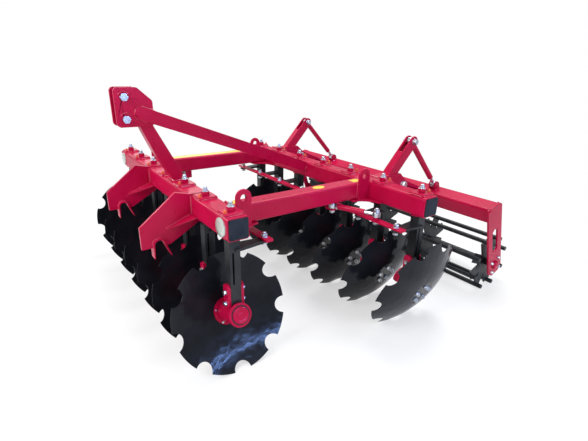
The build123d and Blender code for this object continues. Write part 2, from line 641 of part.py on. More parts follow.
def hub(hand):
    # The bearing housing with its end ring and cap, and the two ears that clamp the stalk.
    axis = hub_plane(0, 0, hand)
    body = Pos(0, 0, HUB_START) * extrude(Circle(HUB_D / 2), HUB_LENGTH)
    body += Pos(0, 0, HUB_END - HUB_RING_THICK) * extrude(Circle(HUB_RING_D / 2), HUB_RING_THICK)
    body += Pos(0, 0, HUB_END) * extrude(Circle(HUB_CAP_D / 2), HUB_CAP_THICK)
    body = axis * body
    ear_y = STALK / 2 + SEAT + EAR_THICK / 2
    half = EAR_WIDTH / 2
    shoulder = EAR_RISE - EAR_CHAMFER
    crown = half - EAR_CHAMFER
    outline = [
        (-half, 0), (half, 0), (half, shoulder), (crown, EAR_RISE), (-crown, EAR_RISE), (-half, shoulder),
    ]
    ear = extrude(Plane.XZ * make_face(Polyline(*outline, close=True)), EAR_THICK / 2, both=True)
    for end in (-1, 1):
        body += Pos(0, end * ear_y, -DISC_DROP) * ear
    bore = extrude(Circle(SPINDLE_D / 2 + RUNNING), HUB_END - HUB_RING_THICK - HUB_START)
    socket = STALK + 2 * SEAT
    room = Box(socket, socket, EAR_RISE, align=(Align.CENTER, Align.CENTER, Align.MIN))
    return body - axis * (Pos(0, 0, HUB_START) * bore) - Pos(0, 0, -DISC_DROP + STALK_FOOT - SEAT) * room


def stalk(towards):
    # The upright with its pivot through the tube, the nut on top and the lever to the tie bar.
    foot = -DISC_DROP + STALK_FOOT
    run = STALK_TOP - foot
    post = Pos(0, 0, foot + run / 2) * Box(STALK, STALK, run)
    slot_run = run - 2 * STALK_SLOT_MARGIN - EAR_RISE / 2
    slot_y = -STALK / 2 + STALK_SLOT_IN + STALK_SLOT / 2
    slot_z = STALK_TOP - LEVER_DROP - LEVER_THICK - slot_run / 2
    post -= Pos(0, slot_y, slot_z) * Box(2 * STALK, STALK_SLOT, slot_run)
    pad_top = HALF + PAD_THICK
    post += pin_z(PIVOT_D / 2, STALK_TOP, pad_top, 0, 0)
    post += pin_z(STUD_D / 2, pad_top, pad_top + NUT_THICK + STUD_D / 3, 0, 0)
    post += Pos(0, 0, pad_top + SEAT) * extrude(RegularPolygon(NUT_ACROSS / 2, 6), NUT_THICK)
    root = LEVER_ROOT / 2
    tip = LEVER_TIP / 2
    end = towards * LEVER
    arm = make_face(Polyline((-root, 0), (root, 0), (tip, end), (-tip, end), close=True))
    arm += Pos(0, end) * Circle(tip)
    post += Pos(0, 0, LEVER_TOP - LEVER_THICK) * extrude(arm, LEVER_THICK)
    post += pin_z(LEVER_PIN_D / 2, LEVER_TOP - LEVER_THICK, TIE_FLOOR + TIE_THICK, 0, end)
    return post


def write(name, solids):
    # One STEP file for each node, in the ground frame.
    pieces = solids if isinstance(solids, list) else [solids]
    moved = [TO_GROUND * piece for piece in pieces]
    shape = moved[0] if len(moved) == 1 else Compound(children=moved)
    export_step(shape, os.path.join("parts", name + ".step"))


def main():
    os.makedirs("parts", exist_ok=True)
    write("front_tube", cross_tube(FRONT_X, 0))
    write("rear_tube", cross_tube(REAR_X, ROW_GAP))
    write("tube_plugs", tube_plugs())
    write("lifting_lugs", lifting_lugs())
    write("corner_gussets", corner_gussets())
    write("headstock_post", headstock_post())
    write("headstock_cheeks", headstock_cheeks())
    write("top_link_pins", top_link_pins())
    write("headstock_brace", brace())
    write("roller_frame", roller_frame())
    write("roller_plates", roller_plates())
    write("roller_cage", roller_cage())
    for side, word in ((1, "left"), (-1, "right")):
        write("side_beam_" + word, side_beam(side))
        write("hitch_hook_" + word, hitch_hook(side))
        write("roller_mast_" + word, mast(side))
        sleeve, rod = height_link(side)
        write("height_sleeve_" + word, sleeve)
        write("height_rod_" + word, rod)
    for row, xs, y, hand in (("front", FRONT_X, 0, 1), ("rear", REAR_X, ROW_GAP, -1)):
        write("tie_bar_" + row, tie_bar(xs, y + hand * LEVER, -hand))
        sleeve, rod = angle_link(-hand)
        write("angle_sleeve_" + row, sleeve)
        write("angle_rod_" + row, rod)
        upright = stalk(hand)
        housing = hub(hand)
        for i, x in enumerate(xs):
            place = Pos(x, y, 0)
            write(f"{row}_leg_{i + 1}", [place * upright, place * housing])
            write(f"{row}_disc_{i + 1}", disc(x, y, hand))


main()
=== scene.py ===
import json
import math
import random

import bmesh
import bpy
from mathutils import Matrix, Vector


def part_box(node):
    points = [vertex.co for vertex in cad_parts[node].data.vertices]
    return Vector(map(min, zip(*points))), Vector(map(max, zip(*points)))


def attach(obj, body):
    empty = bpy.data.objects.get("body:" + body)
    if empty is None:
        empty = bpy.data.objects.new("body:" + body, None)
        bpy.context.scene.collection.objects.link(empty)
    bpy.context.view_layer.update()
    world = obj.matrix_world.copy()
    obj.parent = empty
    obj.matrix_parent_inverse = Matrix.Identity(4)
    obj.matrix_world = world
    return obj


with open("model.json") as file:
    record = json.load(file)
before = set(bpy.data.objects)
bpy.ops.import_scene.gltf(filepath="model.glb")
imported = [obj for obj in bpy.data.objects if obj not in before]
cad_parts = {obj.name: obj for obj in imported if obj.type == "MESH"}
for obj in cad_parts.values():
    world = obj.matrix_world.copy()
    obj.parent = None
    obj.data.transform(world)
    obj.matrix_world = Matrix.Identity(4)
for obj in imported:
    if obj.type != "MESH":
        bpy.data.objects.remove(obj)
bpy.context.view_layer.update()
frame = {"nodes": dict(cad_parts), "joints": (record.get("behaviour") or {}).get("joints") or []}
NODES = frame["nodes"]
JOINTS = {joint["name"]: joint for joint in frame["joints"]}

# Sizes of the machine, in metres, as its solids have them
TUBE = 0.100
PAD = 0.084
PAD_THICK = 0.010
BEAM = 0.090
LUG_WIDTH = 0.076
STALK = 0.050
SEAT = 0.0003
NUT_THICK = 0.020
STUD_D = 0.024
EAR_THICK = 0.014
EAR_RISE = 0.165
STALK_FOOT = 0.060
DISC_DEPTH = 0.062
DISC_THICK = 0.006
FLANGE_THICK = 0.012
FLANGE_GAP = 0.004
FLANGE_REACH = 0.066
HUB_LENGTH = 0.134
HUB_CAP_D = 0.076
HUB_CAP_THICK = 0.005
LEVER = 0.160
LEVER_THICK = 0.012
TIE_THICK = 0.010
CHEEK_OUT = 0.044
FORK_HALF = 0.025
FORK_PLATE = 0.010
BRACKET_HALF = 0.0333
HOOK_PLATE = 0.014
POST_HALF = 0.030
POST_FOOT = 0.068
BRACE_HALF = 0.020
BRACE_HEAD_Y = 0.179
BRACE_HEAD_Z = 0.406
BRACE_TAIL_Z = 0.018
EYE_WIDTH = 0.022
EYE_RADIUS = 0.020
ROLLER_BEAM = 0.100
ROLLER_BEAM_Y = 1.559
ROLLER_BEAM_Z = -0.159
ROLLER_LEAN = 20.0
ROLLER_PLATE = 0.012
ARM_WIDTH = 0.042
LEADER = 4
COUNT = 7

# The rows, and the way along Y that their levers point
HANDS = {"front": 1, "rear": -1}

# Turnbuckles, the reach of their zinc eyes and the width of their lock nuts
LINKS = (("height", "left"), ("height", "right"), ("angle", "front"), ("angle", "rear"))
EYE_REACH = {"height": 0.037, "angle": 0.032}
LOCK_NUT = {"height": 0.032, "angle": 0.028}

# Widths across flats of the bolts and nuts
DISC_BOLT = 0.019
CLAMP_BOLT = 0.018
LEVER_BOLT = 0.024
FORK_BOLT = 0.030
HINGE_BOLT = 0.034
ANCHOR_HEAD = 0.021
ANCHOR_NUT = 0.024
TIE_HEAD = 0.026
TIE_NUT = 0.024
BEARING_BOLT = 0.017

# Heights of the clamp's bolts above the disc's middle
CLAMP_RISES = (0.073, 0.129)

# Shares of a bolt's width across flats, and the ribs on a thread's end
WASHER_RADIUS = 0.62
WASHER_THICK = 0.14
HEAD_THICK = 0.52
SHANK_RADIUS = 0.30
THREAD_RIBS = 5

# Radii of the weld beads
LARGE_BEAD = 0.0045
ROLLER_BEAD = 0.0040
SMALL_BEAD = 0.0035
CHEEK_BEAD = 0.0032
FINE_BEAD = 0.0030
PIN_BEAD = 0.0025

# Shares of a weld bead's radius, and the sides of its section
BEAD_STEP = 0.6
BEAD_RIPPLE = 1.5
BEAD_WAVE = 0.22
BEAD_UNEVEN = 0.06
BEAD_END = 0.4
BEAD_SIDES = 7

# Angles between faces, in degrees, past which an edge is rounded or shades sharp
ROUNDED_EDGE = 40
SHARP_EDGE = 38
SHARP_TURNED = 60
SHARP_BEAD = 80

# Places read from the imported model
FRONT_LOW, FRONT_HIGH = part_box("front_tube")
ROW_Y = {row: JOINTS[f"{row}_row_swivel"]["pos_m"][1] for row in HANDS}
FRONT_Y = ROW_Y["front"]
REAR_Y = ROW_Y["rear"]
TUBE_TOP = FRONT_HIGH.z - PAD_THICK
TUBE_Z = TUBE_TOP - TUBE / 2
BEAM_FLOOR = TUBE_TOP - BEAM
BEAM_X = (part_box("side_beam_left")[0].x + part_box("side_beam_left")[1].x) / 2

# Camera: place, heading, dip and roll in degrees, and focal length in pixels of the photograph
CAMERA_AT = Vector((1.9836, FRONT_Y - 0.6774, TUBE_Z + 0.5965))
HEADING = 53.69
DIP = 20.96
ROLL = 1.39
FOCAL = 389.9
IMAGE_WIDTH = 588
SENSOR = 36.0

# Share of the white background that mirroring faces see
MIRRORED_WHITE = 0.35

# Values between which most of a noise texture lies
NOISE_LOW = 0.3
NOISE_HIGH = 0.7


def shade(name, metallic=0.0, specular=0.5, coat=0.0, coat_roughness=0.1):
    # A new material with its shader and an object coordinate to drive its noise.
    made = bpy.data.materials.new(name)
    made.use_nodes = True
    tree = made.node_tree
    shader = tree.nodes["Principled BSDF"]
    shader.inputs["Metallic"].default_value = metallic
    shader.inputs["Specular IOR Level"].default_value = specular
    shader.inputs["Coat Weight"].default_value = coat
    shader.inputs["Coat Roughness"].default_value = coat_roughness
    coordinate = tree.nodes.new("ShaderNodeTexCoord")
    return made, tree, shader, coordinate.outputs["Object"]


def noise(tree, coordinate, scale, detail=3.0):
    # Soft clouds.
    node = tree.nodes.new("ShaderNodeTexNoise")
    node.inputs["Scale"].default_value = scale
    node.inputs["Detail"].default_value = detail
    tree.links.new(coordinate, node.inputs["Vector"])
    return node.outputs["Fac"]


def cells(tree, coordinate, scale):
    # Small cells, dark in their middles.
    node = tree.nodes.new("ShaderNodeTexVoronoi")
    node.inputs["Scale"].default_value = scale
    tree.links.new(coordinate, node.inputs["Vector"])
    return node.outputs["Distance"]


def ramp(tree, value, stops):
    # Colours between the given places of a value.
    node = tree.nodes.new("ShaderNodeValToRGB")
    elements = node.color_ramp.elements
    while len(elements) < len(stops):
        elements.new(0.5)
    for element, (place, colour) in zip(elements, stops):
        element.position = place
        element.color = (*colour, 1.0)
    tree.links.new(value, node.inputs["Fac"])
    return node.outputs["Color"]


def spread(tree, value, low, high):
    # Stretches a noise to the range from low to high.
    node = tree.nodes.new("ShaderNodeMapRange")
    node.inputs["From Min"].default_value = NOISE_LOW
    node.inputs["From Max"].default_value = NOISE_HIGH
    node.inputs["To Min"].default_value = low
    node.inputs["To Max"].default_value = high
    tree.links.new(value, node.inputs["Value"])
    return node.outputs["Result"]


def relief(tree, shader, value, strength, depth):
    # A bump from a value, on top of the real shape.
    node = tree.nodes.new("ShaderNodeBump")
    node.inputs["Strength"].default_value = strength
    node.inputs["Distance"].default_value = depth
    tree.links.new(value, node.inputs["Height"])
    tree.links.new(node.outputs["Normal"], shader.inputs["Normal"])


def noisy_surface(name, dark, light, rough, scale, grain, strength, depth, **finish):
    # Two close colours, a gloss that varies and a fine relief, all from noise.
    made, tree, shader, coordinate = shade(name, **finish)
    cloud = noise(tree, coordinate, scale)
    tree.links.new(ramp(tree, cloud, [(0.32, dark), (0.68, light)]), shader.inputs["Base Color"])
    smear = noise(tree, coordinate, scale * 4)
    tree.links.new(spread(tree, smear, *rough), shader.inputs["Roughness"])
    relief(tree, shader, noise(tree, coordinate, grain, 2.0), strength, depth)
    return made


def zinc_plate():
    # Bright zinc with small crystals.
    made, tree, shader, coordinate = shade("zinc_plate", metallic=1.0)
    crystal = cells(tree, coordinate, scale=420.0)
    colours = [(0.0, (0.36, 0.38, 0.43)), (0.6, (0.56, 0.58, 0.62))]
    tree.links.new(ramp(tree, crystal, colours), shader.inputs["Base Color"])
    smear = noise(tree, coordinate, scale=90.0)
    tree.links.new(spread(tree, smear, low=0.22, high=0.42), shader.inputs["Roughness"])
    relief(tree, shader, crystal, strength=0.12, depth=0.0003)
    return made


def reflector_lens():
    # A white moulded lens with small cells under a clear skin.
    made, tree, shader, coordinate = shade("reflector_lens", coat=1.0, coat_roughness=0.04)
    cell = cells(tree, coordinate, scale=260.0)
    colours = [(0.0, (0.62, 0.68, 0.61)), (0.55, (0.34, 0.39, 0.35)), (0.9, (0.56, 0.60, 0.55))]
    tree.links.new(ramp(tree, cell, colours), shader.inputs["Base Color"])
    shader.inputs["Roughness"].default_value = 0.25
    relief(tree, shader, cell, strength=0.35, depth=0.0008)
    return made


RED = noisy_surface(
    "red_enamel", dark=(0.38, 0.0019, 0.036), light=(0.45, 0.0032, 0.048), rough=(0.26, 0.38),
    scale=5.0, grain=340.0, strength=0.10, depth=0.0006, specular=0.10, coat=0.10, coat_roughness=0.14,
)
# Weld beads: a glossier enamel (real) in a lighter red than the frame's, which is painted highlight for the
# glints on the beads.
WELD = noisy_surface(
    "weld_enamel_painted_glint", dark=(0.40, 0.0030, 0.040), light=(0.52, 0.0060, 0.060), rough=(0.12, 0.22),
    scale=30.0, grain=400.0, strength=0.25, depth=0.0008, specular=0.5, coat=0.7, coat_roughness=0.06,
)
DISC_BLACK = noisy_surface(
    "disc_enamel", dark=(0.007, 0.008, 0.011), light=(0.013, 0.014, 0.019), rough=(0.10, 0.18),
    scale=9.0, grain=11.0, strength=0.80, depth=0.0040, specular=0.13,
)
BLACK = noisy_surface(
    "black_enamel", dark=(0.011, 0.012, 0.014), light=(0.024, 0.026, 0.030), rough=(0.28, 0.48),
    scale=12.0, grain=300.0, strength=0.10, depth=0.0006, specular=0.22,
)
PLASTIC = noisy_surface(
    "plug_plastic", dark=(0.014, 0.018, 0.028), light=(0.024, 0.028, 0.040), rough=(0.50, 0.64),
    scale=20.0, grain=900.0, strength=0.20, depth=0.0003, specular=0.08,
)
YELLOW = noisy_surface(
    "yellow_vinyl", dark=(0.72, 0.50, 0.02), light=(0.80, 0.60, 0.04), rough=(0.30, 0.45),
    scale=30.0, grain=500.0, strength=0.08, depth=0.0003,
)
ORANGE = noisy_surface(
    "cap_plastic", dark=(0.50, 0.050, 0.015), light=(0.66, 0.10, 0.02), rough=(0.30, 0.45),
    scale=60.0, grain=700.0, strength=0.10, depth=0.0003,
)
ZINC = zinc_plate()
LENS = reflector_lens()


def smooth_group():
    # Geometry nodes that shade smooth, with sharp edges where faces meet at an angle.
    group = bpy.data.node_groups.new("smooth_by_angle", "GeometryNodeTree")
    group.interface.new_socket("Geometry", in_out="INPUT", socket_type="NodeSocketGeometry")
    group.interface.new_socket("Geometry", in_out="OUTPUT", socket_type="NodeSocketGeometry")
    nodes, links = group.nodes, group.links
    start = nodes.new("NodeGroupInput")
    end = nodes.new("NodeGroupOutput")
    faces = nodes.new("GeometryNodeSetShadeSmooth")
    edges = nodes.new("GeometryNodeSetShadeSmooth")
    edges.domain = "EDGE"
    edges.inputs["Shade Smooth"].default_value = False
    angle = nodes.new("GeometryNodeInputMeshEdgeAngle")
    steep = nodes.new("FunctionNodeCompare")
    steep.operation = "GREATER_THAN"
    steep.inputs["B"].default_value = math.radians(SHARP_EDGE)
    links.new(angle.outputs["Unsigned Angle"], steep.inputs["A"])
    links.new(start.outputs[0], faces.inputs["Geometry"])
    links.new(faces.outputs["Geometry"], edges.inputs["Geometry"])
    links.new(steep.outputs["Result"], edges.inputs["Selection"])
    links.new(edges.outputs["Geometry"], end.inputs[0])
    return group


SMOOTH = smooth_group()


def soften(obj, bevel):
    # Rounds the hard edges of a solid a little and shades it smoothly.
    weld = obj.modifiers.new("weld", "WELD")
    weld.merge_threshold = 0.00002
    if bevel:
        rounding = obj.modifiers.new("rounding", "BEVEL")
        rounding.width = bevel
        rounding.segments = 2
        rounding.limit_method = "ANGLE"
        rounding.angle_limit = math.radians(ROUNDED_EDGE)
        rounding.use_clamp_overlap = False
    smooth = obj.modifiers.new("smooth", "NODES")
    smooth.node_group = SMOOTH
    weighted = obj.modifiers.new("weighted", "WEIGHTED_NORMAL")
    weighted.keep_sharp = True


def dress(node, materials, bevel, pick=None):
    # Gives a CAD node its materials, chosen by the place of each face, and soft edges.
    obj = NODES[node]
    mesh = obj.data
    # The loaded normals would hide the soft edges.
    if "custom_normal" in mesh.attributes:
        mesh.attributes.remove(mesh.attributes["custom_normal"])
    mesh.materials.clear()
    for one in materials:
        mesh.materials.append(one)
    if pick:
        chosen = [pick(face.center) for face in mesh.polygons]
        mesh.polygons.foreach_set("material_index", chosen)
    soften(obj, bevel)


def lathe(bm, place, profile, steps):
    # Turns a profile of radius and height round the Z axis of a place.
    rings = []
    for radius, height in profile:
        count = steps if radius > 0 else 1
        ring = []
        for k in range(count):
            turn = 2 * math.pi * k / steps
            spot = Vector((radius * math.cos(turn), radius * math.sin(turn), height))
            ring.append(bm.verts.new(place @ spot))
        rings.append(ring)
    for low, high in zip(rings, rings[1:]):
        for k in range(steps):
            under = [low[k % len(low)], low[(k + 1) % len(low)]]
            over = [high[(k + 1) % len(high)], high[k % len(high)]]
            bm.faces.new(list(dict.fromkeys(under + over)))


def place_on(spot, outward):
    # A frame at a spot whose Z axis points outward.
    turn = Vector(outward).to_track_quat("Z", "Y")
    return Matrix.Translation(spot) @ turn.to_matrix().to_4x4()


def hexagon_corner(across):
    # From the middle of a hexagon to a corner.
    return across / 2 / math.cos(math.pi / 6)


def bolt(bm, place, across, thread=0.0):
    # A hexagon head or nut on its washer, with the thread's end if it stands out.
    flat = across * WASHER_RADIUS
    washer = across * WASHER_THICK
    ring = [(0, 0), (flat, 0), (flat, washer * 0.7), (flat * 0.95, washer), (0, washer)]
    lathe(bm, place, ring, steps=24)
    corner = hexagon_corner(across)
    top = washer + across * HEAD_THICK
    head = [(0, washer), (corner, washer), (corner, top * 0.86), (corner * 0.87, top), (0, top)]
    lathe(bm, place, head, steps=6)
    if thread:
        shank = across * SHANK_RADIUS
        end = top + thread
        ribs = [(0, top)]
        for k in range(THREAD_RIBS):
            low = top + thread * k / THREAD_RIBS
            ribs.append((shank, low + thread * 0.02))
            ribs.append((shank * 0.9, low + thread * 0.12))
        lathe(bm, place, [*ribs, (shank, end - thread * 0.1), (shank * 0.85, end), (0, end)], steps=16)


def bead(bm, points, radius, draw):
    # A rippled weld bead along straight runs between points.
    step = radius * BEAD_STEP
    ripple = radius * BEAD_RIPPLE
    travelled = 0.0
    for start, end in zip(points, points[1:]):
        run = (end - start).length
        place = place_on(start, end - start)
        count = max(3, int(run / step))
        profile = [(0, -radius * BEAD_END)]
        for k in range(count + 1):
            along = run * k / count
            wave = math.sin(2 * math.pi * (travelled + along) / ripple)
            swell = 1 + BEAD_WAVE * wave + draw.uniform(-BEAD_UNEVEN, BEAD_UNEVEN)
            profile.append((radius * swell, along))
        profile.append((0, run + radius * BEAD_END))
        lathe(bm, place, profile, BEAD_SIDES)
        travelled += run


def upright_bead(bm, x, y, low, high, radius, draw):
    # A straight bead from one height to another.
    bead(bm, [Vector((x, y, low)), Vector((x, y, high))], radius, draw)


def arc(x, y, z, radius, first, sweep, steps):
    # Points on part of an upright circle, from a first angle through a sweep, in degrees.
    points = []
    for k in range(steps + 1):
        turn = math.radians(first + sweep * k / steps)
        points.append(Vector((x, y + radius * math.cos(turn), z + radius * math.sin(turn))))
    return points


def piece(name, bm, material, body, angle=SHARP_EDGE):
    # Turns built faces into a piece that rides on a body.
    bmesh.ops.recalc_face_normals(bm, faces=bm.faces)
    for face in bm.faces:
        face.smooth = True
    for edge in bm.edges:
        if edge.is_manifold and edge.calc_face_angle() > math.radians(angle):
            edge.smooth = False
    mesh = bpy.data.meshes.new(name)
    bm.to_mesh(mesh)
    bm.free()
    mesh.materials.append(material)
    obj = bpy.data.objects.new(name, mesh)
    bpy.context.scene.collection.objects.link(obj)
    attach(obj, body)


def legs():
    # Every leg's row and number, the front row first.
    for row in HANDS:
        for number in range(1, COUNT + 1):
            yield row, number


def pivot(row, number):
    # Where a stalk's pivot meets the middle of its cross tube.
    name = f"{row}_row_swivel" if number == LEADER else f"{row}_leg_swivel_{number}"
    return Vector(JOINTS[name]["pos_m"])


def axle_height(row, number):
    # How high a disc's middle stands.
    return JOINTS[f"{row}_disc_spin_{number}"]["pos_m"][2]


def hub_frame(row, number):
    # The rim plane of a disc: Z points to its hollow side.
    joint = JOINTS[f"{row}_disc_spin_{number}"]
    return place_on(Vector(joint["pos_m"]), Vector(joint["axis"]))


def hub_end_frame(row, number):
    # The outer end of a hub housing, with Z pointing away from the disc.
    hub_end = -DISC_DEPTH + FLANGE_THICK + FLANGE_GAP + HUB_LENGTH
    return hub_frame(row, number) @ Matrix.Translation((0, 0, hub_end))


def leg_picker(row, number):
    # The stalk is black, its hub housing and pad nut are red, and the stud above the nut is zinc.
    black, red, zinc = range(3)
    middle = pivot(row, number)
    axle_z = axle_height(row, number)
    nut_top = TUBE_TOP + PAD_THICK + NUT_THICK + SEAT / 2

    def pick(spot):
        if spot.z > TUBE_TOP:
            return zinc if spot.z > nut_top else red
        inside = max(abs(spot.x - middle.x), abs(spot.y - middle.y)) < STALK / 2 + SEAT / 2
        if inside and spot.z > axle_z + STALK_FOOT - SEAT / 2:
            return black
        return red if spot.z < axle_z + EAR_RISE + SEAT else black

    return pick


def flange_picker(row, number):
    # The disc itself is black, its flange and spindle are red.
    black, red = range(2)
    inverse = hub_frame(row, number).inverted()

    def pick(spot):
        local = inverse @ spot
        within = math.hypot(local.x, local.y) < FLANGE_REACH
        return red if local.z > -DISC_DEPTH + SEAT and within else black

    return pick


def eye_picker(eye, reach):
    # A turnbuckle's barrel is red, its eye is zinc.
    red, zinc = range(2)
    return lambda spot: zinc if (spot - eye).length < reach else red


def dress_frame():
    # Everything that is painted red, the black cage, the zinc pins and the plastic plugs.
    red = [
        "front_tube", "rear_tube", "side_beam_left", "side_beam_right", "lifting_lugs", "corner_gussets",
        "headstock_post", "headstock_cheeks", "headstock_brace", "hitch_hook_left", "hitch_hook_right",
        "roller_mast_left", "roller_mast_right", "roller_frame", "roller_plates", "tie_bar_front",
        "tie_bar_rear",
    ]
    for node in red:
        dress(node, [RED], bevel=0.0018)
    dress("roller_cage", [BLACK], bevel=0.0012)
    dress("top_link_pins", [ZINC], bevel=0.0012)
    dress("tube_plugs", [PLASTIC], bevel=0.0015)


def dress_legs():
    # The legs and their discs.
    for row, number in legs():
        dress(f"{row}_leg_{number}", [BLACK, RED, ZINC], bevel=0.0015, pick=leg_picker(row, number))
        dress(f"{row}_disc_{number}", [DISC_BLACK, RED], bevel=0.0, pick=flange_picker(row, number))


def dress_links():
    # Turnbuckles: red barrels with zinc eyes, and zinc rods.
    for kind, word in LINKS:
        eye = Vector(JOINTS[f"{kind}_sleeve_swing_{word}"]["pos_m"])
        dress(f"{kind}_sleeve_{word}", [RED, ZINC], bevel=0.001, pick=eye_picker(eye, EYE_REACH[kind]))
        dress(f"{kind}_rod_{word}", [ZINC], bevel=0.0008)


def disc_bolts():
    # Five bolts through each disc: heads on the rounded back, flat ends in the flange.
    count = 5
    head_ring = 0.047
    stud_ring = 0.0575
    stud = [(0, 0), (0.0055, 0), (0.0050, 0.0018), (0, 0.0024)]
    backward = Matrix.Rotation(math.pi, 4, "X")
    for row, number in legs():
        axis = hub_frame(row, number)
        bm = bmesh.new()
        for k in range(count):
            turn = 2 * math.pi * (k + 0.25) / count
            ring = Vector((math.cos(turn), math.sin(turn), 0))
            back = ring * head_ring - Vector((0, 0, DISC_DEPTH + DISC_THICK))
            bolt(bm, axis @ Matrix.Translation(back) @ backward, DISC_BOLT, thread=0.004)
            front = ring * stud_ring - Vector((0, 0, DISC_DEPTH - FLANGE_THICK))
            lathe(bm, axis @ Matrix.Translation(front), stud, steps=14)
        piece(f"disc_bolts_{row}_{number}", bm, ZINC, f"{row}_disc_{number}")


def leg_bolts(row, number):
    # The clamp's bolts, the stud's end on the pad nut and the bolt through the lever.
    middle = pivot(row, number)
    axle_z = axle_height(row, number)
    bm = bmesh.new()
    reach = STALK / 2 + SEAT + EAR_THICK
    for rise in CLAMP_RISES:
        for end in (-1, 1):
            spot = Vector((middle.x, middle.y + end * reach, axle_z + rise))
            bolt(bm, place_on(spot, (0, end, 0)), CLAMP_BOLT, thread=0.005 if end > 0 else 0.0)
    stud = [(0, 0), (0.0095, 0), (0.0095, 0.009), (0.0080, 0.012), (0, 0.0125)]
    stud_top = TUBE_TOP + PAD_THICK + NUT_THICK + STUD_D / 3
    lathe(bm, Matrix.Translation((middle.x, middle.y, stud_top)), stud, steps=20)
    lever_y = middle.y + HANDS[row] * LEVER
    tie_top = JOINTS[f"{row}_tie_pivot"]["pos_m"][2] + TIE_THICK
    lever_floor = tie_top - TIE_THICK - SEAT - LEVER_THICK
    bolt(bm, place_on((middle.x, lever_y, tie_top), (0, 0, 1)), LEVER_BOLT, thread=0.006)
    bolt(bm, place_on((middle.x, lever_y, lever_floor), (0, 0, -1)), LEVER_BOLT)
    piece(f"leg_bolts_{row}_{number}", bm, ZINC, f"{row}_leg_{number}")


def hub_cap(row, number):
    # The red cap on a housing's end, and round it a thin black ring as painted shade for the groove.
    body = f"{row}_leg_{number}"
    end = hub_end_frame(row, number)
    top = HUB_CAP_THICK
    rim = HUB_CAP_D / 2
    shape = [
        (0, 0), (rim * 0.98, 0), (rim * 0.98, top + 0.0015), (rim * 0.92, top + 0.0028),
        (rim * 0.72, top + 0.0028), (rim * 0.66, top + 0.0012), (rim * 0.30, top + 0.0016),
        (rim * 0.24, top + 0.0026), (0, top + 0.0030),
    ]
    cap = bmesh.new()
    lathe(cap, end, shape, steps=40)
    piece(f"hub_cap_{row}_{number}", cap, RED, body, SHARP_TURNED)
    # A thin black ring round the cap: painted shade where the groove would lie in shadow, not a real seal.
    groove = [(rim, 0), (rim * 1.16, 0), (rim * 1.16, 0.0008), (rim, 0.0008), (rim, 0)]
    painted_groove_shade = bmesh.new()
    lathe(painted_groove_shade, end, groove, steps=40)
    piece(f"hub_seal_{row}_{number}", painted_groove_shade, BLACK, body, SHARP_TURNED)


def leg_details():
    # The small pieces that ride on each leg.
    for row, number in legs():
        leg_bolts(row, number)
        hub_cap(row, number)


def frame_bolts():
    # Bolts of the height turnbuckles, the arm hinges and the angle turnbuckles on the frame.
    bm = bmesh.new()
    for side in ("left", "right"):
        pin = Vector(JOINTS[f"height_sleeve_swing_{side}"]["pos_m"])
        hinge = Vector(JOINTS["roller_arm_hinge"]["pos_m"])
        hinge.x = pin.x
        for end in (-1, 1):
            out = Vector((end, 0, 0))
            bolt(bm, place_on(pin + out * FORK_HALF, out), FORK_BOLT, thread=0.006 if end < 0 else 0.0)
            bolt(bm, place_on(hinge + out * BRACKET_HALF, out), HINGE_BOLT, thread=0.008 if end < 0 else 0.0)
    for row in HANDS:
        anchor = Vector(JOINTS[f"angle_sleeve_swing_{row}"]["pos_m"])
        floor = anchor.z - EYE_WIDTH / 2 - SEAT - FORK_PLATE
        bolt(bm, place_on((anchor.x, anchor.y, floor), (0, 0, -1)), ANCHOR_NUT, thread=0.005)
        bolt(bm, place_on((anchor.x, anchor.y, anchor.z + EYE_WIDTH / 2), (0, 0, 1)), ANCHOR_HEAD)
    piece("frame_bolts", bm, ZINC, "frame")


def nipple_caps():
    # Orange plastic caps on the grease nipples beside the pad nuts.
    beside = 0.018
    before = 0.034
    cap = [
        (0, 0), (0.0085, 0), (0.0085, 0.003), (0.0065, 0.004), (0.0065, 0.011), (0.005, 0.0135),
        (0, 0.0145),
    ]
    bm = bmesh.new()
    for row, number in legs():
        middle = pivot(row, number)
        spot = Vector((middle.x + beside, middle.y - HANDS[row] * before, TUBE_TOP + PAD_THICK))
        lathe(bm, Matrix.Translation(spot), cap, steps=16)
    piece("nipple_caps", bm, ORANGE, "frame")


def tie_bar_bolts():
    # The bolt that holds an angle turnbuckle's eye on each tie bar.
    for row, hand in HANDS.items():
        low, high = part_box(f"tie_bar_{row}")
        eye_low, eye_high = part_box(f"angle_rod_{row}")
        outer = eye_high.x if hand < 0 else eye_low.x
        pin_x = outer + hand * EYE_RADIUS
        pin_y = (low.y + high.y) / 2
        tie_floor = JOINTS[f"{row}_tie_pivot"]["pos_m"][2]
        bm = bmesh.new()
        bolt(bm, place_on((pin_x, pin_y, high.z), (0, 0, 1)), TIE_HEAD, thread=0.006)
        bolt(bm, place_on((pin_x, pin_y, tie_floor), (0, 0, -1)), TIE_NUT, thread=0.004)
        piece(f"tie_bolts_{row}", bm, ZINC, f"tie_bar_{row}")


def lock_nuts():
    # A zinc lock nut at the eye of each turnbuckle's barrel.
    for kind, word in LINKS:
        eye = Vector(JOINTS[f"{kind}_sleeve_swing_{word}"]["pos_m"])
        slide = Vector(JOINTS[f"{kind}_rod_slide_{word}"]["axis"]).normalized()
        width = LOCK_NUT[kind] * 0.5
        corner = hexagon_corner(LOCK_NUT[kind])
        nut = [(0, 0), (corner, 0), (corner, width * 0.8), (corner * 0.88, width), (0, width)]
        bm = bmesh.new()
        lathe(bm, place_on(eye + slide * EYE_REACH[kind], -slide), nut, steps=6)
        piece(f"lock_nuts_{kind}_{word}", bm, ZINC, f"{kind}_sleeve_{word}")


